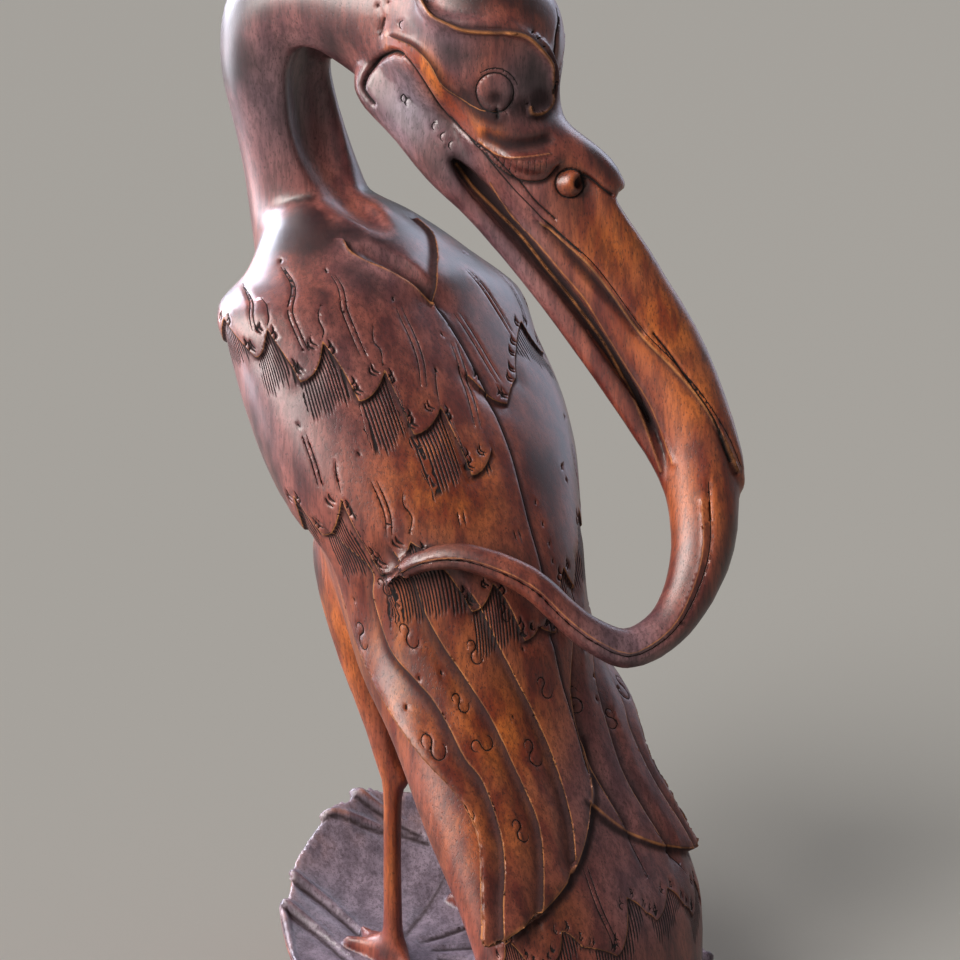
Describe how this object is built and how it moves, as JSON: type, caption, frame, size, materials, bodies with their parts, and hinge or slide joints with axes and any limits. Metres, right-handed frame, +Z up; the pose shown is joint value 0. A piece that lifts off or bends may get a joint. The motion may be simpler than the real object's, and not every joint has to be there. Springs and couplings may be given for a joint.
{
  "type": "carved wooden bird",
  "caption": "Long-necked wading bird carved from one block of dark stained wood, head turned back over closed wings, long curling beak, standing on a lotus leaf base.",
  "frame": {"origin": "middle of the flat round underside of the base", "axes": "+Z up along the bird's height, -Y towards the side the picture shows, +X to its right"},
  "size_m": [0.2623, 0.2601, 0.5621],
  "materials": {
    "stained_wood": "dark red-brown stain, rubbed lighter on the ridges, under a satin wax polish"
  },
  "bodies": {
    "root": {"carved_bird": "stained_wood"}
  },
  "joints": []
}
